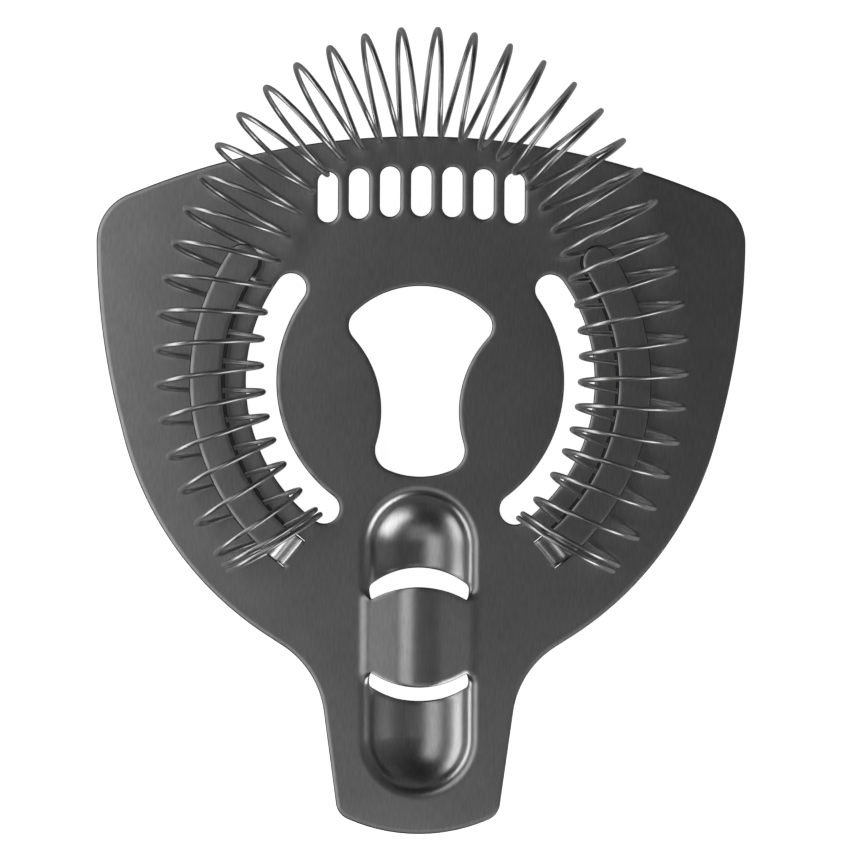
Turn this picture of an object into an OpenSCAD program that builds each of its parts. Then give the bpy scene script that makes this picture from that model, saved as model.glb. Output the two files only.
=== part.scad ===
// Hawthorne strainer: a stamped plate with two lanced arms, and the coil spring threaded on them.
// Origin: common centre of the arms and crescent slots, on the spring-side face of the plate.
// +X across the head, +Y from the handle to the spring's front, +Z out of the spring side.

/* [Plate] */
// Sheet thickness
plate_t = 1.0; // [0.9:0.05:1.1]
// Width of the head across its two shoulders
head_w = 110.6; // [109.6:0.2:111]
// Front edge of the head, measured from the origin
head_front = 41.8; // [41.6:0.1:42]
// Radius of the long front edge
front_r = 127; // [126:1:129]
// Width of the handle next to its end
handle_w = 27.4; // [27.2:0.2:28.2]
// End of the handle, measured from the origin
handle_end = 77.0; // [76.6:0.2:77]

/* [Drain holes] */
// Number of slots in the front row
slot_count = 7; // [3:2:7]
// Width of each front slot
slot_w = 3.45; // [3:0.05:3.6]
// Length of each front slot
slot_len = 8.6; // [6:0.1:9]
// Distance between neighbouring front slots
slot_pitch = 5.3; // [5:0.1:5.4]
// Distance of the middle front slot from the origin
slot_row_y = 32.4; // [32:0.1:33]
// Middle radius of the two crescent slots
crescent_r = 27.1; // [26.8:0.1:27.4]
// Width of the crescent slots
crescent_w = 5.2; // [4.6:0.1:5.4]

/* [Arms] */
// Middle radius of the arms
arm_r = 36.3; // [36:0.1:36.6]
// Width of the arms
arm_w = 5.5; // [5:0.1:5.8]
// Clear height under the arms
arm_lift = 3.2; // [3.1:0.05:3.6]
// Sheared clearance beside the arms
arm_gap = 0.15; // [0.1:0.05:0.3]

/* [Handle form] */
// Inside radius of the two recessed domes
dome_r = 9.3; // [9:0.1:9.6]
// Depth of the domes below the face
dome_depth = 5.2; // [5:0.1:5.6]
// Rise of the bridge between the domes
bridge_rise = 3.9; // [3:0.1:4.5]
// Half width of the bridge
bridge_half = 8.4; // [8.3:0.1:8.5]

/* [Spring] */
// Wire diameter
wire_d = 0.9; // [0.8:0.05:1]
// Outer diameter of the coil
coil_od = 18.6; // [18:0.1:19]
// Front of the coil's centreline, measured from the origin
spring_front = 50.1; // [49.5:0.1:50.7]
// Radius of the coil's centreline at its front
front_arc_r = 31; // [30.5:0.1:31.5]
// Radius of the coil's centreline at its two sides
side_arc_r = 59; // [57:1:61]
// Radius of the coil's centreline behind its sides
back_arc_r = 43; // [42:0.5:44]
// Distance from turn to turn
coil_pitch = 5; // [4.9:0.01:5.02]
// Gap between the plate and the spring's back
spring_gap = 0.05; // [0.02:0.01:0.1]

/* [Hidden] */
over = 1;
chord_error = 0.02;
big = 60;
$fn = 96;

// Plate outline and middle opening: corners of the right half, each [x, y, rounding radius]
front_slope = 21.5;
neck_x = 17.1;
outline_half = [
    [0, head_front + front_r * (1 / cos(front_slope) - 1), front_r],
    [head_w / 2, 29.4, 8.7],
    [head_w / 2 - 0.3, 8.1, 125],
    [44.9, -31.2, 57.5],
    [neck_x, -49, 15.7],
    [handle_w / 2, -73.8, 3.3],
    [0, -handle_end - 2.6, 29.8],
];
opening_half = [
    [0, 22.4, 16.1],
    [13.3, 9.7, 3],
    [4.6, -0.8, 18.5],
    [8.4, -13.9, 3.7],
    [0, -17.3, 13.7],
];

// Angles about the origin, up from +X
slot_row_r = 112;
crescent_a0 = -53.2;
crescent_a1 = 35.4;
arm_tip_a = 34;
arm_base_a = -50.6;
ramp_len = 2.3;
ramp_foot = 1;

// Handle form, along Y
dome_front_y = -28;
dome_back_y = -60.8;
window_front_y = -31.9;
window_back_y = -54.8;
window_r = 13.3;
bridge_front_y = -34.9;
bridge_back_y = -51.9;
bridge_edge_r = 15.9;
bridge_foot = 0.6;
zone_front_y = -36.1;
zone_back_y = -50.6;
dome_z = dome_r - dome_depth;
bridge_r = (bridge_half ^ 2 + bridge_rise ^ 2) / (2 * bridge_rise);

// Spring: turns are counted from the front centre, negative to -X and positive to +X
coil_r = (coil_od - wire_d) / 2;
coil_z = spring_gap + wire_d / 2 + coil_r;
first_turn = -20.75;
last_turn = 21.1;
open_left = -18.7;
open_right = 19.5;
closed_pitch = 1.05;
closing_turns = 3.5;
closing_lead = 2.5;
closing_lean = 3.8;
front_arc_a = 56.5;
side_arc_a = 41.5;
spring_side_shift = 0.2;
front_shift = -0.58;
bunching = 0.68;
bunching_turns = 21;
front_lean = 0.8;
leaning_turns = 8;
spring_drift = 0.003;
rings_per_turn = 16;
wire_sides = 6;

function unit(v) = v / norm(v);
function direction(a) = [cos(a), sin(a)];

// Points on an arc; trim leaves out that many at each end, where a neighbouring arc already has them
function arc_points(centre, r, a0, a1, trim = 0) = let (
    steps = ceil(abs(a1 - a0) * PI / 180 * sqrt(r / (8 * chord_error)))
) [for (i = [trim:steps - trim]) centre + r * direction(a0 + (a1 - a0) * i / steps)];

// Rounding at corner b, between its neighbours a and c
function corner_arc(a, b, c, r) = let (
    u = unit(a - b),
    v = unit(c - b),
    half = acos(u * v) / 2,
    centre = b + unit(u + v) * r / sin(half),
    start = b + u * r / tan(half) - centre,
    a0 = atan2(start.y, start.x)
) arc_points(centre, r, a0, a0 + (180 - 2 * half) * sign(cross(b - a, c - b)));

// Mirrors a right half into a closed list of corners, then rounds every corner
function closed_corners(half) = concat(
    half,
    [for (i = [len(half) - 2:-1:1]) [-half[i].x, half[i].y, half[i][2]]]
);
function flat_point(p) = [p.x, p.y];
function rounded(c) = let (n = len(c)) [for (i = [0:n - 1], p = corner_arc(
    flat_point(c[(i + n - 1) % n]), flat_point(c[i]), flat_point(c[(i + 1) % n]), c[i][2])) p];

// One leg of the spring's centreline, three arcs that run into each other.
// At a distance along it: the arc's centre and radius, and the heading from the centre.
front_centre = [0, spring_front - front_arc_r];
side_centre = front_centre + (front_arc_r - side_arc_r) * heading(front_arc_a);
back_centre = side_centre + (side_arc_r - back_arc_r) * heading(front_arc_a + side_arc_a);
front_len = front_arc_r * front_arc_a * PI / 180;
side_len = side_arc_r * side_arc_a * PI / 180;
function heading(a) = [sin(a), cos(a)];
function along_arc(d, r) = d / r * 180 / PI;
function leg(d) =
    d < front_len ? [front_centre, front_arc_r, along_arc(d, front_arc_r)]
    : d < front_len + side_len
        ? [side_centre, side_arc_r, front_arc_a + along_arc(d - front_len, side_arc_r)]
    : [back_centre, back_arc_r,
        front_arc_a + side_arc_a + along_arc(d - front_len - side_len, back_arc_r)];

// Distance along the centreline at a turn: open turns, then closed ones at each end
function open_s(n) = front_shift + coil_pitch * n
    - bunching * sin(360 * n / bunching_turns) - spring_drift * n ^ 2;
function turn_s(n) = let (m = min(max(n, open_left), open_right)) open_s(m) + closed_pitch * (n - m);

// The inside of each closing turn is pushed on towards the end of the spring
function smooth(t) = let (u = min(max(t, 0), 1)) u ^ 2 * (3 - 2 * u);
function closing(n) = smooth((max(open_left - n, n - open_right) + closing_lead) / closing_turns);
// The lower strands of the front turns on the +X side lean on towards +X
function leaning(n) = n > 0 && n < leaning_turns
    ? sin(180 * n / leaning_turns) ^ 2 * ((1 + sin(360 * n)) / 2) ^ 2 : 0;
function wire_s(n) = turn_s(n) + front_lean * leaning(n)
    + sign(n) * closing_lean * closing(n) * (1 + cos(360 * n)) / 2;

function outward(n) = let (s = wire_s(n), v = heading(leg(abs(s))[2])) [sign(s) * v.x, v.y, 0];
function spoke(n) = cos(180 + 360 * n) * outward(n) + [0, 0, sin(180 + 360 * n)];
function wire_point(n) = let (
    s = wire_s(n),
    arc = leg(abs(s)),
    p = arc[0] + arc[1] * heading(arc[2])
) [sign(s) * p.x + spring_side_shift, p.y, coil_z] + coil_r * spoke(n);

function ring(n) = let (
    along = unit(wire_point(n + 0.01) - wire_point(n - 0.01)),
    side = unit(cross(along, spoke(n))),
    up = cross(side, along)
) [for (k = [0:wire_sides - 1]) let (q = 360 * (k + 0.5) / wire_sides)
    wire_point(n) + wire_d / 2 * (cos(q) * up + sin(q) * side)];

function slot_points(len, w) = concat(
    arc_points([0, (len - w) / 2], w / 2, 0, 180),
    arc_points([0, (w - len) / 2], w / 2, 180, 360)
);

// Strip around the origin from angle a0 to a1 with a round end at a1; its other end is left to the caller
function strip_points(r, w, a0, a1) = concat(
    arc_points([0, 0], r + w / 2, a0, a1),
    arc_points(r * direction(a1), w / 2, a1, a1 + 180, 1),
    arc_points([0, 0], r - w / 2, a1, a0)
);

// Arm outline: its round tip at one end and a straight tail over the ramp at the other
function arm_points(w, tail) = let (
    away = tail * [sin(arm_base_a), -cos(arm_base_a)]
) concat(
    strip_points(arm_r, w, arm_base_a, arm_tip_a),
    [for (r = [arm_r - w / 2, arm_r + w / 2]) r * direction(arm_base_a) + away]
);

module crescent() {
    polygon(concat(
        strip_points(crescent_r, crescent_w, crescent_a0, crescent_a1),
        arc_points(crescent_r * direction(crescent_a0), crescent_w / 2,
            crescent_a0 + 180, crescent_a0 + 360, 1)
    ));
}

module flat_sheet() {
    translate([0, 0, -plate_t]) linear_extrude(plate_t) difference() {
        polygon(rounded(closed_corners(outline_half)));
        polygon(rounded(closed_corners(opening_half)));
        for (i = [-(slot_count - 1) / 2:(slot_count - 1) / 2]) let (x = i * slot_pitch)
            translate([x, slot_row_y - x ^ 2 / (2 * slot_row_r)]) polygon(slot_points(slot_len, slot_w));
        for (side = [0, 1]) mirror([side, 0]) {
            crescent();
            polygon(arm_points(arm_w + 2 * arm_gap, ramp_len));
        }
    }
}

// Arm above its opening, with the ramp that joins it to the sheet
module arm() {
    top = arm_lift + plate_t;
    bend = plate_t * tan(atan2(top, ramp_len) / 2);
    foot = ramp_len + ramp_foot;
    intersection() {
        translate([0, 0, -plate_t - over]) linear_extrude(top + plate_t + 2 * over)
            polygon(arm_points(arm_w, foot));
        rotate(arm_base_a) union() {
            translate([0, 0, arm_lift]) cube([big, big, plate_t]);
            translate([big, 0, 0]) rotate([90, 0, -90]) linear_extrude(big) polygon([
                [-bend - over, top], [-bend - over, arm_lift], [-bend, arm_lift],
                [ramp_len - bend, -plate_t], [foot + over, -plate_t], [foot + over, 0],
                [ramp_len, 0], [0, top],
            ]);
        }
    }
}

// Round bar along Y with ball ends, the form of the domes
module capsule(r) {
    translate([0, dome_front_y, dome_z]) rotate([90, 0, 0]) rotate_extrude() {
        intersection() {
            circle(r);
            translate([0, -big]) square([big, big]);
        }
        square([r, dome_front_y - dome_back_y]);
        translate([0, dome_front_y - dome_back_y]) intersection() {
            circle(r);
            square([big, big]);
        }
    }
}

// Everything in front of and behind the bridge
module dome_zone() {
    translate([-big, zone_front_y, -big]) cube(2 * big);
    translate([-big, zone_back_y - 2 * big, -big]) cube(2 * big);
}

module between_arcs(front_y, back_y, r, half) {
    intersection() {
        translate([0, front_y - r]) circle(r, $fn = 180);
        translate([0, back_y + r]) circle(r, $fn = 180);
        translate([-half, back_y - over]) square([2 * half, front_y - back_y + 2 * over]);
    }
}

module bridge() {
    len = bridge_front_y - bridge_back_y + 2 * over;
    intersection() {
        translate([0, 0, -plate_t]) linear_extrude(plate_t + bridge_rise + over)
            between_arcs(bridge_front_y, bridge_back_y, bridge_edge_r, bridge_half + bridge_foot);
        translate([0, bridge_front_y + over, bridge_rise - bridge_r]) rotate([90, 0, 0]) difference() {
            cylinder(r = bridge_r, h = len);
            translate([0, 0, -over]) cylinder(r = bridge_r - plate_t, h = len + 2 * over);
        }
    }
}

module strainer_plate() {
    color([0.27, 0.27, 0.28]) union() {
        difference() {
            union() {
                flat_sheet();
                intersection() {
                    capsule(dome_r + plate_t);
                    translate([-big, -2 * big, -big]) cube([2 * big, 2 * big, big]);
                    dome_zone();
                }
            }
            intersection() {
                capsule(dome_r);
                dome_zone();
            }
            translate([0, 0, -big]) linear_extrude(2 * big)
                between_arcs(window_front_y, window_back_y, window_r, bridge_half);
        }
        bridge();
        for (side = [0, 1]) mirror([side, 0, 0]) arm();
    }
}

module coil_spring() {
    count = round((last_turn - first_turn) * rings_per_turn);
    points = [for (i = [0:count], p = ring(first_turn + i / rings_per_turn)) p];
    walls = [for (i = [0:count - 1], k = [0:wire_sides - 1]) let (
        a = i * wire_sides + k, b = i * wire_sides + (k + 1) % wire_sides)
        [b, a, a + wire_sides, b + wire_sides]];
    first_cap = [for (k = [0:wire_sides - 1]) k];
    last_cap = [for (k = [wire_sides - 1:-1:0]) count * wire_sides + k];
    color([0.45, 0.45, 0.46]) polyhedron(points, concat([first_cap], walls, [last_cap]));
}

strainer_plate();
coil_spring();
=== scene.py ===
"""Looks of the hawthorne strainer: the stamped, brushed plate and the coil spring threaded on its arms.

Lengths are millimetres in the shape functions and turn into metres when a mesh is made.
The frame is the CAD's: origin at the common centre of the arms, on the face that the spring lies on.
"""

import math

import bpy
import numpy as np
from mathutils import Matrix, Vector
from mathutils.geometry import delaunay_2d_cdt


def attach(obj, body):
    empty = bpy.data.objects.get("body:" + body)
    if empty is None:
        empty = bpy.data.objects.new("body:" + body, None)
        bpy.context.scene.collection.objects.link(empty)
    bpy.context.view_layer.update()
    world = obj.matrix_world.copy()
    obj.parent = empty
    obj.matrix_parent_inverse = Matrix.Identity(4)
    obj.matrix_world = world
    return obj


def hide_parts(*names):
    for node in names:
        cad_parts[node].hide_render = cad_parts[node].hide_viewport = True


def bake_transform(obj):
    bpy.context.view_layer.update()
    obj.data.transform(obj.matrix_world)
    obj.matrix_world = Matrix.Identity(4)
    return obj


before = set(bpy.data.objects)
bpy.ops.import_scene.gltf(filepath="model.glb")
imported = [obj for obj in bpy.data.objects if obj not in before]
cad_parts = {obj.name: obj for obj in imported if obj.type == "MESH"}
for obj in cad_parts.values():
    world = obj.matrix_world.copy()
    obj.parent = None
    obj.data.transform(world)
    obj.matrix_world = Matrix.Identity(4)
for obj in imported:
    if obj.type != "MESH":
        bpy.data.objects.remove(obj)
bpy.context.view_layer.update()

MM = 0.001

# ---------------------------------------------------------------- driving sizes, as in the CAD
PLATE_T = 1.0
HEAD_HALF = 55.3
HEAD_FRONT = 41.8
FRONT_R = 127.0
FRONT_SLOPE = math.radians(21.5)
HANDLE_HALF = 13.7
HANDLE_END = 77.0
SLOT_COUNT = 7
SLOT_W = 3.45
SLOT_LEN = 8.6
SLOT_PITCH = 5.3
SLOT_ROW_Y = 32.4
SLOT_ROW_R = 112.0
CRESCENT_R = 27.1
CRESCENT_W = 5.2
CRESCENT_SPAN = (-53.2, 35.4)
ARM_R = 36.3
ARM_W = 5.5
ARM_TOP = 4.2
ARM_SPAN = (-50.6, 34.0)
SLIT_W = 0.15
RAMP_LEN = 2.3
DOME_R = 11.1
DOME_SIDE_R = 3.0
DOME_SHOULDER_R = 2.7
DOME_FRONT_Y = -28.0
DOME_BACK_Y = -60.8
WINDOW_HALF = 8.4
WINDOW_R = 13.3
WINDOW_FRONT_Y = -31.9
WINDOW_BACK_Y = -54.8
BRIDGE_EDGE_R = 15.9
BRIDGE_FRONT_Y = -34.9
BRIDGE_BACK_Y = -51.9
WIRE_D = 0.9
COIL_R = 8.85
COIL_Z = 9.35
SPRING_FRONT = 50.1
SPRING_ARCS = ((31.0, 56.5), (59.0, 41.5), (43.0, 60.0))
SPRING_SIDE_SHIFT = 0.2

# ---------------------------------------------------------------- finish of the stamping
CORNER_W = 0.12
CORNER_DROP = 0.08
EDGE_ROLL = 0.85
EDGE_DROP = 0.08
EDGE_RINGS = 6
SLIT_TAPER = 0.5
GAP_CORNER = 0.6
DOME_SIDE_ANGLE = math.radians(42)
DOME_WALL_ANGLE = math.radians(60)
BRIDGE_FLANK_ANGLE = math.radians(26)
BRIDGE_CROWN_R = 9.6
BRIDGE_FOOT_R = 4.7
BRIDGE_FOOT_X = 10.5
RAMP_BEND_R = 2.8
RAMP_FOOT_R = 0.9

# ---------------------------------------------------------------- spacing of mesh points
ARC_STEP = 0.35
TIP_STEP = 0.2
FORM_STEP = 0.3
RAMP_STEP = 0.12
POINT_GAP = 0.12
GAP_STEPS = 72
ON_LINE = 0.01
SLIVER = 1e-5


def unit(v):
    return v / np.linalg.norm(v)


def direction(degrees):
    return np.array([math.cos(math.radians(degrees)), math.sin(math.radians(degrees))])


def arc(centre, r, a0, a1, step=ARC_STEP):
    """Points on an arc, both ends included, at most step apart."""
    count = max(2, math.ceil(abs(math.radians(a1 - a0)) * r / step))
    angles = np.radians(np.linspace(a0, a1, count + 1))
    return np.asarray(centre) + r * np.stack([np.cos(angles), np.sin(angles)], axis=1)


def corner_arc(a, b, c, r):
    """The rounding of radius r at corner b, between its neighbours a and c."""
    u, v = unit(a - b), unit(c - b)
    half = math.acos(u @ v) / 2
    centre = b + unit(u + v) * r / math.sin(half)
    start = b + u * r / math.tan(half) - centre
    turn = np.sign((b - a)[0] * (c - b)[1] - (b - a)[1] * (c - b)[0])
    a0 = math.degrees(math.atan2(start[1], start[0]))
    return arc(centre, r, a0, a0 + turn * (180 - 2 * math.degrees(half)))


def rounded_outline(half):
    """A closed outline from its right half's corners [x, y, radius], the first and last on the axis."""
    corners = half + [(-x, y, r) for x, y, r in half[-2:0:-1]]
    flat = [np.array(c[:2], float) for c in corners]
    n = len(flat)
    arcs = [corner_arc(flat[i - 1], flat[i], flat[(i + 1) % n], corners[i][2]) for i in range(n)]
    return np.vstack(arcs)


def evened(loop, step=ARC_STEP):
    """The closed loop with its long straight sides split, and without doubled points."""
    out = []
    for a, b in zip(loop, np.roll(loop, -1, axis=0)):
        length = np.linalg.norm(b - a)
        if length < 1e-6:
            continue
        parts = max(1, math.ceil(length / step))
        out.extend(a + (b - a) * k / parts for k in range(parts))
    return np.array(out)


def area(loop):
    x, y = loop[:, 0], loop[:, 1]
    return 0.5 * np.sum(x * np.roll(y, -1) - np.roll(x, -1) * y)


def wound(loop, anticlockwise):
    return loop if (area(loop) > 0) == anticlockwise else loop[::-1]


def mirrored(loop):
    return loop * np.array([-1, 1])


# ---------------------------------------------------------------- outlines of the plate and its holes
def plate_outline():
    tip = HEAD_FRONT + FRONT_R * (1 / math.cos(FRONT_SLOPE) - 1)
    return rounded_outline(
        [
            (0, tip, FRONT_R),
            (HEAD_HALF, 29.4, 8.7),
            (HEAD_HALF - 0.3, 8.1, 125),
            (44.9, -31.2, 57.5),
            (17.1, -49, 15.7),
            (HANDLE_HALF, -73.8, 3.3),
            (0, -HANDLE_END - 2.6, 29.8),
        ]
    )


def middle_opening():
    return rounded_outline(
        [(0, 22.4, 16.1), (13.3, 9.7, 3), (4.6, -0.8, 18.5), (8.4, -13.9, 3.7), (0, -17.3, 13.7)]
    )


def front_slot(x):
    y = SLOT_ROW_Y - x**2 / (2 * SLOT_ROW_R)
    reach = (SLOT_LEN - SLOT_W) / 2
    return np.vstack(
        [
            arc((x, y + reach), SLOT_W / 2, 0, 180),
            arc((x, y - reach), SLOT_W / 2, 180, 360),
        ]
    )


def crescent():
    a0, a1 = CRESCENT_SPAN
    return np.vstack(
        [
            arc((0, 0), CRESCENT_R + CRESCENT_W / 2, a0, a1),
            arc(CRESCENT_R * direction(a1), CRESCENT_W / 2, a1, a1 + 180),
            arc((0, 0), CRESCENT_R - CRESCENT_W / 2, a1, a0),
            arc(CRESCENT_R * direction(a0), CRESCENT_W / 2, a0 + 180, a0 + 360),
        ]
    )


def arm_side(width):
    """From the ramp's foot along one side of the arm, round its tip and back to the foot."""
    a0, a1 = ARM_SPAN
    away = RAMP_LEN * np.array([math.sin(math.radians(a0)), -math.cos(math.radians(a0))])
    outer, inner = ((ARM_R + s * width / 2) * direction(a0) for s in (1, -1))
    ramp_steps = math.ceil(RAMP_LEN / RAMP_STEP)
    down = np.linspace(1, 0, ramp_steps, endpoint=False)[:, None]
    return np.vstack(
        [
            outer + down * away,
            arc((0, 0), ARM_R + width / 2, a0, a1),
            arc(ARM_R * direction(a1), width / 2, a1, a1 + 180, TIP_STEP)[1:-1],
            arc((0, 0), ARM_R - width / 2, a1, a0),
            (inner + down * away)[::-1],
        ]
    )


def arm_slit():
    """The narrow sheared gap round the arm: out along the sheet's side, back along the arm's."""
    return np.vstack([arm_side(ARM_W + 2 * SLIT_W), arm_side(ARM_W)[::-1]])


def quick_bend(a, corner, b, count=5):
    """Points on the curve that leaves a towards the corner and arrives at b."""
    t = np.linspace(0, 1, count + 1)[:, None]
    a, corner, b = (np.asarray(p, float) for p in (a, corner, b))
    return (1 - t) ** 2 * a + 2 * t * (1 - t) * corner + t**2 * b


def gap_edge(x, apex, r):
    """Height in Y, at x, of a gap's bowed edge."""
    return apex - r + np.sqrt(r**2 - np.minimum(np.abs(x), WINDOW_HALF) ** 2)


def handle_gap(dome_apex, bridge_apex):
    """Opening between a dome's edge and the bridge's, bowed the same way, with four rounded corners."""
    way = 1 if dome_apex > bridge_apex else -1

    def edge_y(x, apex, r):
        return way * gap_edge(x, way * apex, r)

    xs = np.linspace(-WINDOW_HALF + GAP_CORNER, WINDOW_HALF - GAP_CORNER, GAP_STEPS)
    dome = np.column_stack([xs, edge_y(xs, dome_apex, WINDOW_R)])
    bridge = np.column_stack([xs, edge_y(xs, bridge_apex, BRIDGE_EDGE_R)])[::-1]
    dome_end = edge_y(WINDOW_HALF, dome_apex, WINDOW_R)
    bridge_end = edge_y(WINDOW_HALF, bridge_apex, BRIDGE_EDGE_R)
    out = []
    for side, edge, end, far_end in ((1, dome, dome_end, bridge_end), (-1, bridge, bridge_end, dome_end)):
        first, last = -side * WINDOW_HALF, side * WINDOW_HALF
        turned = end + np.sign(far_end - end) * GAP_CORNER
        out.append(quick_bend((first, turned), (first, end), edge[0])[:-1])
        out.append(edge)
        out.append(quick_bend(edge[-1], (last, end), (last, turned))[1:])
    return np.vstack(out)


def hole_loops():
    first = -(SLOT_COUNT - 1) / 2
    holes = [middle_opening()]
    holes += [front_slot((first + i) * SLOT_PITCH) for i in range(SLOT_COUNT)]
    holes += [crescent(), mirrored(crescent()), arm_slit(), mirrored(arm_slit())]
    holes += [handle_gap(WINDOW_FRONT_Y, BRIDGE_FRONT_Y), handle_gap(WINDOW_BACK_Y, BRIDGE_BACK_Y)]
    return holes


# ---------------------------------------------------------------- pressed form of the spring-side face
def smoothstep(t):
    t = np.clip(t, 0, 1)
    return t * t * (3 - 2 * t)


def dome_profile():
    """Distances from the dome's axis and heights: a round bottom, tighter sides, a rounded shoulder."""
    side, wall = DOME_SIDE_ANGLE, DOME_WALL_ANGLE
    bottom = np.linspace(0, side, 50)
    sides = np.linspace(side, wall, 20)[1:]
    shoulder = np.linspace(wall, 0, 30)[1:]
    side_x = DOME_R * math.sin(side)
    rim_x = side_x + DOME_SIDE_R * (math.sin(wall) - math.sin(side))
    d = np.concatenate(
        [
            DOME_R * np.sin(bottom),
            side_x + DOME_SIDE_R * (np.sin(sides) - math.sin(side)),
            rim_x + DOME_SHOULDER_R * (math.sin(wall) - np.sin(shoulder)),
        ]
    )
    side_z = DOME_R * (1 - math.cos(side))
    rim_z = side_z + DOME_SIDE_R * (math.cos(side) - math.cos(wall))
    z = np.concatenate(
        [
            DOME_R * (1 - np.cos(bottom)),
            side_z + DOME_SIDE_R * (math.cos(side) - np.cos(sides)),
            rim_z + DOME_SHOULDER_R * (np.cos(shoulder) - math.cos(wall)),
        ]
    )
    return d, z - z[-1]


def bridge_profile():
    """Distances from the bridge's middle and heights: a round crown, straight flanks, a hollow foot."""
    flank = BRIDGE_FLANK_ANGLE
    crown = np.linspace(0, flank, 30)
    foot = np.linspace(flank, 0, 30)
    foot_d = BRIDGE_FOOT_X - BRIDGE_FOOT_R * np.sin(foot)
    foot_z = BRIDGE_FOOT_R * (1 - np.cos(foot))
    crown_d = BRIDGE_CROWN_R * np.sin(crown)
    crown_top = foot_z[0] + (foot_d[0] - crown_d[-1]) * math.tan(flank)
    crown_z = crown_top + BRIDGE_CROWN_R * (np.cos(crown) - math.cos(flank))
    return np.concatenate([crown_d, foot_d]), np.concatenate([crown_z, foot_z])


def ramp_profile():
    """Distances past the arm's base and heights of its top face: level, a bend, a slope, a foot.

    The slope is the one whose foot ends where the slits end.
    """
    spare = ARM_TOP - 2 * RAMP_FOOT_R
    half_tan = (math.sqrt(RAMP_LEN**2 + ARM_TOP * spare) - RAMP_LEN) / spare
    slope = 2 * math.atan(half_tan)
    bend = np.linspace(0, slope, 16)
    foot = np.linspace(slope, 0, 12)
    u = np.concatenate([RAMP_BEND_R * (np.sin(bend) - half_tan), RAMP_LEN - RAMP_FOOT_R * np.sin(foot)])
    z = np.concatenate([ARM_TOP - RAMP_BEND_R * (1 - np.cos(bend)), RAMP_FOOT_R * (1 - np.cos(foot))])
    return u, z


DOME = dome_profile()
BRIDGE = bridge_profile()
RAMP = ramp_profile()


def dome_height(x, y):
    along = np.clip(y, DOME_BACK_Y, DOME_FRONT_Y)
    return np.interp(np.hypot(x, y - along), *DOME)


def handle_height(x, y):
    """The two domes and the bridge between them; beside the gaps the one turns smoothly into the other."""
    share = np.ones_like(x)
    for dome_apex, bridge_apex, way in (
        (WINDOW_FRONT_Y, BRIDGE_FRONT_Y, 1),
        (WINDOW_BACK_Y, BRIDGE_BACK_Y, -1),
    ):
        dome_edge = gap_edge(x, way * dome_apex, WINDOW_R)
        bridge_edge = gap_edge(x, way * bridge_apex, BRIDGE_EDGE_R)
        share = share * smoothstep((dome_edge - way * y) / (dome_edge - bridge_edge))
    bridge = np.interp(np.abs(x), *BRIDGE)
    return dome_height(x, y) * (1 - share) + bridge * share


def arm_frame(x, y):
    """On this side's arm: radius, angle, distance past its base towards the foot, and distance across."""
    side = np.abs(x)
    a0 = math.radians(ARM_SPAN[0])
    past = side * math.sin(a0) - y * math.cos(a0)
    across = side * math.cos(a0) + y * math.sin(a0)
    return np.hypot(side, y), np.degrees(np.arctan2(y, side)), past, across


def on_arm(x, y):
    """True inside the middle of the slit: the arm, its round tip and its ramp."""
    reach = (ARM_W + SLIT_W) / 2
    rad, ang, past, across = arm_frame(x, y)
    tip = ARM_R * direction(ARM_SPAN[1])
    strip = (np.abs(rad - ARM_R) < reach) & (ang >= ARM_SPAN[0]) & (ang <= ARM_SPAN[1])
    round_tip = (np.hypot(np.abs(x) - tip[0], y - tip[1]) < reach) & (ang > ARM_SPAN[1])
    ramp_end = RAMP_LEN + 1
    on_ramp = (np.abs(across - ARM_R) < reach) & (past >= 0) & (past < ramp_end)
    return strip | round_tip | on_ramp


def form_height(x, y):
    """Height of the spring-side face before its edges are rolled."""
    x, y = np.asarray(x, float), np.asarray(y, float)
    z = handle_height(x, y)
    _, _, past, _ = arm_frame(x, y)
    return np.where(on_arm(x, y), np.interp(past, *RAMP), z)


def form_normal(x, y):
    h = 0.01
    dx = (form_height(x + h, y) - form_height(x - h, y)) / (2 * h)
    dy = (form_height(x, y + h) - form_height(x, y - h)) / (2 * h)
    n = np.stack([-dx, -dy, np.ones_like(dx)], axis=1)
    return n / np.linalg.norm(n, axis=1)[:, None]


# ---------------------------------------------------------------- sheet mesh
def inset(loop, distance):
    """The loop moved into the metal, which lies on its left, a limited way at sharp corners."""
    least_spread = 0.6
    ahead = np.roll(loop, -1, axis=0) - loop
    behind = loop - np.roll(loop, 1, axis=0)
    ahead /= np.linalg.norm(ahead, axis=1)[:, None]
    behind /= np.linalg.norm(behind, axis=1)[:, None]
    normal = np.stack([-(ahead + behind)[:, 1], (ahead + behind)[:, 0]], axis=1)
    normal /= np.linalg.norm(normal, axis=1)[:, None]
    spread = np.sum(normal * np.stack([-ahead[:, 1], ahead[:, 0]], axis=1), axis=1)
    return loop + normal * (distance / np.maximum(spread, least_spread))[:, None]


def edge_steps():
    """Insets and drops of the edge, from the sheared wall over its corner and up the roll to the face."""
    t = np.linspace(0, 1, EDGE_RINGS + 1)
    insets = CORNER_W + (EDGE_ROLL - CORNER_W) * t
    drops = EDGE_DROP * (1 - t) ** 2
    return np.append(0, insets), np.append(EDGE_DROP + CORNER_DROP, drops)


def inside_metal(points, loops):
    """Even-odd test of points against all loops."""
    odd = np.zeros(len(points), bool)
    x, y = points[:, 0], points[:, 1]
    for loop in loops:
        a, b = loop, np.roll(loop, -1, axis=0)
        for (ax, ay), (bx, by) in zip(a, b):
            if ay == by:
                continue
            crosses = (ay > y) != (by > y)
            odd ^= crosses & (x < (bx - ax) * (y - ay) / (by - ay) + ax)
    return odd


def flat_area(points, tri):
    """Areas of flat triangles, given by the numbers of their points."""
    a, b, c = (points[tri[:, k]] for k in range(3))
    return 0.5 * np.abs((b - a)[:, 0] * (c - a)[:, 1] - (b - a)[:, 1] * (c - a)[:, 0])


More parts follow.
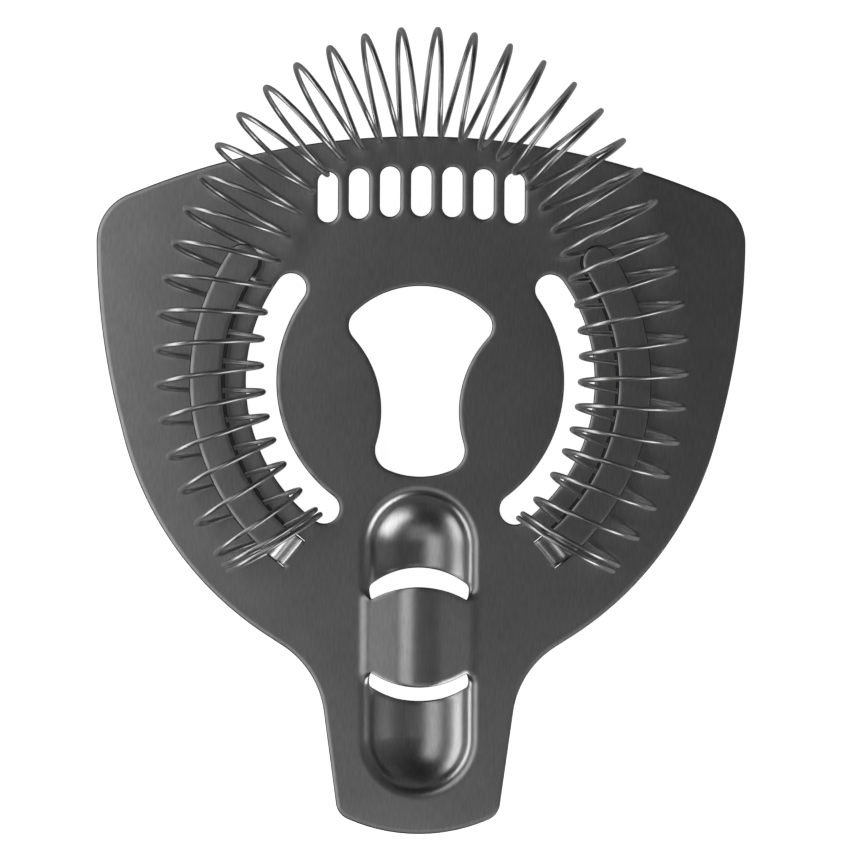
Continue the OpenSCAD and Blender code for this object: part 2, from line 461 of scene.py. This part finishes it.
def grid(x0, x1, y0, y1, step):
    xs = np.arange(x0, x1 + step / 2, step)
    ys = np.arange(y0, y1 + step / 2, step)
    gx, gy = np.meshgrid(xs, ys)
    return np.stack([gx.ravel(), gy.ravel()], axis=1)


def form_points():
    """Where the form curves and needs closely spaced points: the handle and the two ramps."""
    reach, bend, foot = 10.9, 2.1, 0.9
    handle = grid(-reach, reach, DOME_BACK_Y - reach, DOME_FRONT_Y + reach, FORM_STEP)
    a0 = math.radians(ARM_SPAN[0])
    local = grid(-bend, RAMP_LEN + foot, -ARM_W / 2, ARM_W / 2, RAMP_STEP)
    base = np.array([math.cos(a0), math.sin(a0)])
    away = np.array([math.sin(a0), -math.cos(a0)])
    ramp = ARM_R * base + local[:, :1] * away + local[:, 1:] * base
    return np.vstack([handle, ramp, mirrored(ramp)])


def far_from(points, others, gap):
    """The points that keep a distance from all the others, found by hashing them into cells."""
    cells = {}
    for k, (cx, cy) in enumerate(np.floor(others / gap).astype(int)):
        cells.setdefault((cx, cy), []).append(k)
    keep = []
    for p, (cx, cy) in zip(points, np.floor(points / gap).astype(int)):
        near = [k for i in (-1, 0, 1) for j in (-1, 0, 1) for k in cells.get((cx + i, cy + j), ())]
        keep.append(not near or np.min(np.linalg.norm(others[near] - p, axis=1)) > gap)
    return points[np.array(keep)]


def keen_edge(x, y):
    """True on the sheet's side of the slits, where the punch has left the top edge sharp."""
    rad, ang, _, _ = arm_frame(x, y)
    near = ARM_W / 2 + SLIT_W + EDGE_ROLL + 0.1
    past_ends = 8
    strip = (np.abs(rad - ARM_R) < near) & (ang > ARM_SPAN[0] - past_ends)
    return strip & (ang < ARM_SPAN[1] + past_ends) & ~on_arm(x, y)


def slit_taper(x, y, z):
    """The sheet's sheared wall round an arm leans in under it, towards the middle of the arm."""
    rad, ang, _, _ = arm_frame(x, y)
    wall = ARM_W / 2 + SLIT_W
    beside = (np.abs(np.abs(rad - ARM_R) - wall) < ON_LINE) & (z < ON_LINE)
    beside &= (ang > ARM_SPAN[0]) & (ang < ARM_SPAN[1])
    lean = np.where(beside, SLIT_TAPER * np.sign(ARM_R - rad), 0)
    shift = (lean / np.maximum(rad, 1))[:, None] * np.column_stack([x, y])
    tip = ARM_R * direction(ARM_SPAN[1])
    to_tip = np.column_stack([np.sign(x) * tip[0] - x, tip[1] - y])
    ahead = (np.abs(np.linalg.norm(to_tip, axis=1) - wall) < ON_LINE) & (z < ON_LINE)
    ahead &= ang >= ARM_SPAN[1]
    return shift + (SLIT_TAPER * ahead / wall)[:, None] * to_tip


def edge_rings(loops):
    """Rings of points that follow each loop into the metal, their drops, numbers, edges and first rings."""
    points, drops, numbers, edges, outlines = [], [], [], [], []
    count = 0
    for loop in loops:
        for k, (distance, drop) in enumerate(zip(*edge_steps())):
            ring = inset(loop, distance) if distance > 0 else loop
            ids = np.arange(count, count + len(ring))
            if k == 0:
                outlines.append(ids)
            points.append(ring)
            drops.append(np.where(keen_edge(*ring.T), 0, drop))
            numbers.append(np.full(len(ring), k))
            edges += list(zip(ids, np.roll(ids, -1)))
            count += len(ring)
    return np.vstack(points), np.concatenate(drops), np.concatenate(numbers), edges, outlines


def triangulated(points, edges, loops):
    """The metal between the loops: flat vertices, triangles, and the point that each vertex comes from."""
    out = delaunay_2d_cdt([Vector(p) for p in points], edges, [], 0, 1e-6)
    verts = np.array([tuple(v) for v in out[0]])
    tri = np.array([f for f in out[2] if len(f) == 3])
    source = np.array([s[0] if len(s) else -1 for s in out[3]])
    metal = inside_metal(verts[tri].mean(axis=1), loops)
    return verts, tri[metal & (flat_area(verts, tri) > SLIVER)], source


def sheared_walls(outlines, source, count):
    """Faces from each outline of the spring-side face down to its twin in the back, count vertices on."""
    at = {int(s): i for i, s in enumerate(source) if s >= 0}
    faces = []
    for ids in outlines:
        wall = [at[int(i)] for i in ids]
        faces += [(b, a, count + a, count + b) for a, b in zip(wall, wall[1:] + wall[:1])]
    return faces


def sheet_mesh(name):
    """The whole stamping: one sheet with rolled edges, sheared walls and a back face a thickness away."""
    loops = [wound(evened(plate_outline()), True)] + [wound(evened(h), False) for h in hole_loops()]
    ringed, drops, numbers, edges, outlines = edge_rings(loops)
    extra = form_points()
    extra = extra[inside_metal(extra, [inset(loop, EDGE_ROLL) for loop in loops])]
    extra = far_from(extra, ringed, POINT_GAP)
    verts, tri, source = triangulated(np.vstack([ringed, extra]), edges, loops)
    drop = np.append(drops, np.zeros(len(extra) + 1))[source]
    number = np.append(numbers, np.full(len(extra) + 1, EDGE_RINGS))[source]
    x, y = verts.T
    z = form_height(x, y)
    normal = form_normal(x, y)
    form = np.column_stack([verts, z])
    top = form - drop[:, None] * normal
    back = form - PLATE_T * normal
    back[:, :2] += slit_taper(x, y, z)
    count = len(verts)
    faces = [tuple(f) for f in tri] + [tuple(count + f[::-1]) for f in tri]
    first_wall = len(faces)
    faces += sheared_walls(outlines, source, count)
    obj = make_mesh(name, np.vstack([top, back]), faces)
    # The first rings of the rolled edges and the sheared walls take the second, near-black material:
    # painted shade for the dark lines along the edges and in the slits.
    corners = np.flatnonzero(number[tri].max(axis=1) <= 1).tolist()
    for k in corners + list(range(first_wall, len(obj.data.polygons))):
        obj.data.polygons[k].material_index = 1
    return obj


def make_mesh(name, points_mm, faces, sharp=math.radians(40)):
    mesh = bpy.data.meshes.new(name)
    mesh.from_pydata((np.asarray(points_mm) * MM).tolist(), [], [tuple(int(i) for i in f) for f in faces])
    mesh.update()
    mesh.validate()
    mesh.shade_smooth()
    mesh.set_sharp_from_angle(angle=sharp)
    obj = bpy.data.objects.new(name, mesh)
    bpy.context.scene.collection.objects.link(obj)
    return obj


# ---------------------------------------------------------------- spring
FIRST_TURN, LAST_TURN = -20.75, 21.1
OPEN_LEFT, OPEN_RIGHT = -18.7, 19.5
FRONT_SHIFT = -0.58
COIL_PITCH = 5.0
CLOSED_PITCH = 1.05
CLOSING_TURNS = 3.5
CLOSING_LEAD = 2.5
CLOSING_LEAN = 3.8
BUNCHING = 0.68
BUNCHING_TURNS = 21.0
SPRING_DRIFT = 0.003
FRONT_LEAN = 0.8
LEANING_TURNS = 8.0
RINGS_PER_TURN = 40
WIRE_SIDES = 14


def heading(angle):
    return np.stack([np.sin(angle), np.cos(angle)], axis=-1)


def leg(distance):
    """Points and outward normals of the spring's centreline: three arcs on each side, from the front."""
    centre = np.array([0.0, SPRING_FRONT - SPRING_ARCS[0][0]])
    point, normal = np.zeros((len(distance), 2)), np.zeros((len(distance), 2))
    start, turned = 0.0, 0.0
    for k, (r, degrees) in enumerate(SPRING_ARCS):
        here = distance >= start
        angle = turned + (distance[here] - start) / r
        normal[here] = heading(angle)
        point[here] = centre + r * normal[here]
        start, turned = start + r * math.radians(degrees), turned + math.radians(degrees)
        if k + 1 < len(SPRING_ARCS):
            centre = centre + (r - SPRING_ARCS[k + 1][0]) * heading(turned)
    return point, normal


def wire_distance(turn):
    """Distance along the centreline: open turns, bunched a little by the arms, then closed end turns."""
    m = np.clip(turn, OPEN_LEFT, OPEN_RIGHT)
    wave = BUNCHING * np.sin(2 * np.pi * m / BUNCHING_TURNS)
    base = FRONT_SHIFT + COIL_PITCH * m - wave - SPRING_DRIFT * m**2 + CLOSED_PITCH * (turn - m)
    past = np.maximum(OPEN_LEFT - turn, turn - OPEN_RIGHT)
    closing = smoothstep((past + CLOSING_LEAD) / CLOSING_TURNS)
    lower = ((1 + np.sin(2 * np.pi * turn)) / 2) ** 2
    leaning = np.sin(np.pi * np.clip(turn / LEANING_TURNS, 0, 1)) ** 2 * lower
    closed = CLOSING_LEAN * closing * (1 + np.cos(2 * np.pi * turn)) / 2
    return base + FRONT_LEAN * leaning + np.sign(turn) * closed


def spine(turn):
    """The spring's centreline under each turn, and its outward normal."""
    s = wire_distance(turn)
    point, normal = leg(np.abs(s))
    side = np.column_stack([np.sign(s), np.ones(len(s))])
    return point * side + np.array([SPRING_SIDE_SHIFT, 0]), normal * side


def spring_path(turn):
    point, normal = spine(turn)
    phi = np.pi + 2 * np.pi * turn
    flat = point + COIL_R * np.cos(phi)[:, None] * normal
    return np.column_stack([flat, COIL_Z + COIL_R * np.sin(phi)])


def spring_mesh(name):
    """Round wire swept along the coil, with domed cut ends."""
    count = round((LAST_TURN - FIRST_TURN) * RINGS_PER_TURN) + 1
    turn = np.linspace(FIRST_TURN, LAST_TURN, count)
    centre = spring_path(turn)
    tangent = spring_path(turn + 1e-3) - spring_path(turn - 1e-3)
    tangent /= np.linalg.norm(tangent, axis=1)[:, None]
    spoke = centre - np.column_stack([spine(turn)[0], np.full(count, COIL_Z)])
    side = np.cross(tangent, spoke)
    side /= np.linalg.norm(side, axis=1)[:, None]
    out = np.cross(side, tangent)
    angles = 2 * np.pi * np.arange(WIRE_SIDES) / WIRE_SIDES
    offset = np.cos(angles)[:, None] * out[:, None] + np.sin(angles)[:, None] * side[:, None]
    rings = centre[:, None, :] + WIRE_D / 2 * offset
    verts = rings.reshape(-1, 3)
    faces = []
    for i in range(count - 1):
        for k in range(WIRE_SIDES):
            a, b = i * WIRE_SIDES + k, i * WIRE_SIDES + (k + 1) % WIRE_SIDES
            faces.append((a, b, b + WIRE_SIDES, a + WIRE_SIDES))
    extra = []
    for end, way in ((0, -1), (count - 1, 1)):
        base = [end * WIRE_SIDES + k for k in range(WIRE_SIDES)]
        shrink, push = 0.75, 0.1
        ring = centre[end] + way * push * tangent[end] + WIRE_D / 2 * shrink * offset[end]
        start = len(verts) + len(extra)
        extra.extend(ring)
        for k in range(WIRE_SIDES):
            a, b = base[k], base[(k + 1) % WIRE_SIDES]
            c, d = start + (k + 1) % WIRE_SIDES, start + k
            faces.append((a, b, c, d) if way > 0 else (b, a, d, c))
        cap = [start + k for k in range(WIRE_SIDES)]
        faces.append(tuple(cap if way > 0 else cap[::-1]))
    return make_mesh(name, np.vstack([verts, np.array(extra)]), faces)


# ---------------------------------------------------------------- materials
def new_material(name):
    material = bpy.data.materials.new(name)
    material.use_nodes = True
    tree = material.node_tree
    return material, tree, tree.nodes["Principled BSDF"]


def add(tree, kind, **values):
    """A new node with its settings."""
    node = tree.nodes.new(kind)
    for key, value in values.items():
        setattr(node, key, value)
    return node


def grain(tree, scale, stretch, detail=2.0):
    """Noise in the object's own metres, stretched along Y like brush marks."""
    coords = add(tree, "ShaderNodeTexCoord")
    mapping = add(tree, "ShaderNodeMapping")
    mapping.inputs["Scale"].default_value = (scale, scale / stretch, scale)
    noise = add(tree, "ShaderNodeTexNoise")
    noise.inputs["Scale"].default_value = 1.0
    noise.inputs["Detail"].default_value = detail
    tree.links.new(coords.outputs["Object"], mapping.inputs["Vector"])
    tree.links.new(mapping.outputs["Vector"], noise.inputs["Vector"])
    return noise.outputs["Fac"]


def ramp(tree, value, low, high, out_low, out_high):
    """An output mapped from low...high to out_low...out_high and held there beyond."""
    node = add(tree, "ShaderNodeMapRange")
    node.inputs["From Min"].default_value = low
    node.inputs["From Max"].default_value = high
    node.inputs["To Min"].default_value = out_low
    node.inputs["To Max"].default_value = out_high
    tree.links.new(value, node.inputs["Value"])
    return node.outputs["Result"]


def plus(tree, a, b):
    """The sum of two outputs."""
    node = add(tree, "ShaderNodeMath", operation="ADD")
    tree.links.new(a, node.inputs[0])
    tree.links.new(b, node.inputs[1])
    return node.outputs["Value"]


def grey(tree, value):
    node = add(tree, "ShaderNodeCombineColor")
    for channel in ("Red", "Green", "Blue"):
        tree.links.new(value, node.inputs[channel])
    return node.outputs["Color"]


def brushed_plate_material():
    material, tree, shader = new_material("brushed_plate_steel")
    shader.inputs["Metallic"].default_value = 1.0
    shader.inputs["Anisotropic"].default_value = 0.15
    across = add(tree, "ShaderNodeCombineXYZ")
    across.inputs["X"].default_value = 1.0
    tree.links.new(across.outputs["Vector"], shader.inputs["Tangent"])
    fine = grain(tree, 14000, 14)
    streaks = grain(tree, 2600, 5, 4.0)
    cloud = grain(tree, 90, 1)
    level = plus(tree, ramp(tree, cloud, 0.3, 0.7, 0.43, 0.49), ramp(tree, streaks, 0.3, 0.7, 0, 0.1))
    tree.links.new(grey(tree, level), shader.inputs["Base Color"])
    tree.links.new(ramp(tree, fine, 0.3, 0.7, 0.276, 0.29), shader.inputs["Roughness"])
    bump = add(tree, "ShaderNodeBump")
    bump.inputs["Strength"].default_value = 0.14
    bump.inputs["Distance"].default_value = 0.000004
    tree.links.new(fine, bump.inputs["Height"])
    tree.links.new(bump.outputs["Normal"], shader.inputs["Normal"])
    return material


def sheared_edge_and_painted_shade_material():
    # Rough, mottled finish of the torn sheared edge, with a near-black colour that is painted shade: it
    # draws the dark lines along the plate's edges and the shaded walls of the slits under the arms.
    material, tree, shader = new_material("sheared_edge_painted_shade_steel")
    shader.inputs["Metallic"].default_value = 1.0
    edge_mottle = grain(tree, 5000, 0.2)
    tree.links.new(grey(tree, ramp(tree, edge_mottle, 0.3, 0.7, 0.02, 0.06)), shader.inputs["Base Color"])
    tree.links.new(ramp(tree, edge_mottle, 0.3, 0.7, 0.4, 0.6), shader.inputs["Roughness"])
    return material


def spring_wire_material():
    material, tree, shader = new_material("drawn_spring_wire")
    shader.inputs["Metallic"].default_value = 1.0
    mottle = grain(tree, 900, 1)
    tree.links.new(grey(tree, ramp(tree, mottle, 0.3, 0.7, 0.46, 0.56)), shader.inputs["Base Color"])
    tree.links.new(ramp(tree, mottle, 0.3, 0.7, 0.28, 0.32), shader.inputs["Roughness"])
    return material


def backdrop_material():
    material, tree, shader = new_material("pale_backdrop")
    shader.inputs["Base Color"].default_value = (0.9, 0.9, 0.9, 1)
    shader.inputs["Roughness"].default_value = 0.9
    shader.inputs["Emission Color"].default_value = (1, 1, 1, 1)
    shader.inputs["Emission Strength"].default_value = 0.9
    return material


# ---------------------------------------------------------------- stage, lights and camera
def backdrop_mesh(z, sides=96):
    """A pale round floor at z that turns up into a far wall, in metres."""
    radii_and_heights = ((3.0, 0.0), (3.5, 0.1), (3.85, 0.4), (4.0, 0.9), (4.0, 6.0))
    angles = 2 * np.pi * np.arange(sides) / sides
    round_path = np.column_stack([np.cos(angles), np.sin(angles)])
    rings = [np.column_stack([r * round_path, np.full(sides, z + h)]) for r, h in radii_and_heights]
    faces = [tuple(range(sides))]
    for start in range(0, (len(rings) - 1) * sides, sides):
        for k in range(sides):
            a, b = start + k, start + (k + 1) % sides
            faces.append((a, b, b + sides, a + sides))
    mesh = bpy.data.meshes.new("backdrop")
    mesh.from_pydata(np.vstack(rings).tolist(), [], faces)
    obj = bpy.data.objects.new("backdrop", mesh)
    bpy.context.scene.collection.objects.link(obj)
    return obj


def soft_light(name, angle, azimuth, distance, size, power):
    """An area light, size wide and high, facing the origin from an angle off +Z and an azimuth from +X."""
    a, b = math.radians(angle), math.radians(azimuth)
    away = Vector((math.sin(a) * math.cos(b), math.sin(a) * math.sin(b), math.cos(a)))
    data = bpy.data.lights.new(name, "AREA")
    data.shape = "RECTANGLE"
    data.size, data.size_y = size
    data.energy = power
    obj = bpy.data.objects.new(name, data)
    obj.location = away * distance
    obj.rotation_euler = away.to_track_quat("Z", "Y").to_euler()
    obj.visible_camera = False
    bpy.context.scene.collection.objects.link(obj)


def build_world(horizon, zenith, right, below):
    """Dim studio: dark in front and behind, lighter overhead and at the right, the table's glow below."""
    world = bpy.data.worlds.new("studio")
    world.use_nodes = True
    tree = world.node_tree
    coords = add(tree, "ShaderNodeTexCoord")
    split = add(tree, "ShaderNodeSeparateXYZ")
    tree.links.new(coords.outputs["Generated"], split.inputs["Vector"])
    sideways = add(tree, "ShaderNodeMath", operation="ABSOLUTE")
    tree.links.new(split.outputs["Y"], sideways.inputs[0])
    sky = ramp(tree, sideways.outputs["Value"], 0.1, 0.65, zenith, horizon)
    right_glow = ramp(tree, split.outputs["X"], 0.1, 0.9, 0, right)
    table_glow = ramp(tree, split.outputs["Z"], -0.25, -0.02, below, 0)
    level = plus(tree, plus(tree, sky, right_glow), table_glow)
    tree.links.new(grey(tree, level), tree.nodes["Background"].inputs["Color"])
    bpy.context.scene.world = world


def build_camera(centre, height, field, roll):
    data = bpy.data.cameras.new("camera")
    data.lens = data.sensor_width * height / field
    data.clip_start, data.clip_end = 0.01, 10
    obj = bpy.data.objects.new("camera", data)
    obj.location = (centre[0], centre[1], height)
    obj.rotation_euler = (0, 0, roll)
    bpy.context.scene.collection.objects.link(obj)
    bpy.context.scene.camera = obj


# ---------------------------------------------------------------- scene, in metres
FLOOR_Z = -0.0063
CAMERA_CENTRE = (0.00085, -0.00743)
CAMERA_HEIGHT = 0.65
CAMERA_FIELD = 0.1446
CAMERA_ROLL = 0.0055

plate = sheet_mesh("formed_plate")
plate.data.materials.append(brushed_plate_material())
# Second material: the sheared edges and edge rings, painted near-black as shade.
plate.data.materials.append(sheared_edge_and_painted_shade_material())
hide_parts("strainer_plate")
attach(plate, "plate")

spring = spring_mesh("spring_wire")
spring.data.materials.append(spring_wire_material())
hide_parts("coil_spring")
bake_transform(spring)

backdrop = backdrop_mesh(FLOOR_Z)
backdrop.data.materials.append(backdrop_material())
backdrop.visible_glossy = False
backdrop.visible_diffuse = False
backdrop.visible_shadow = False

build_world(horizon=0.018, zenith=0.055, right=0.052, below=0.2)
soft_light("left_panel", 79, 180, 0.7, (1.4, 0.37), 3.0)
soft_light("left_fill", 51, 180, 0.7, (1.0, 0.24), 0.06)
soft_light("overhead_left_panel", 26, 172, 0.64, (0.6, 0.28), 0.4)
soft_light("front_right_panel", 68, -46, 0.6, (0.52, 0.28), 1.1)
soft_light("handle_end_panel", 26, -90, 0.7, (0.5, 0.32), 0.14)
build_camera(CAMERA_CENTRE, CAMERA_HEIGHT, CAMERA_FIELD, CAMERA_ROLL)
bpy.context.scene.view_settings.view_transform = "Standard"
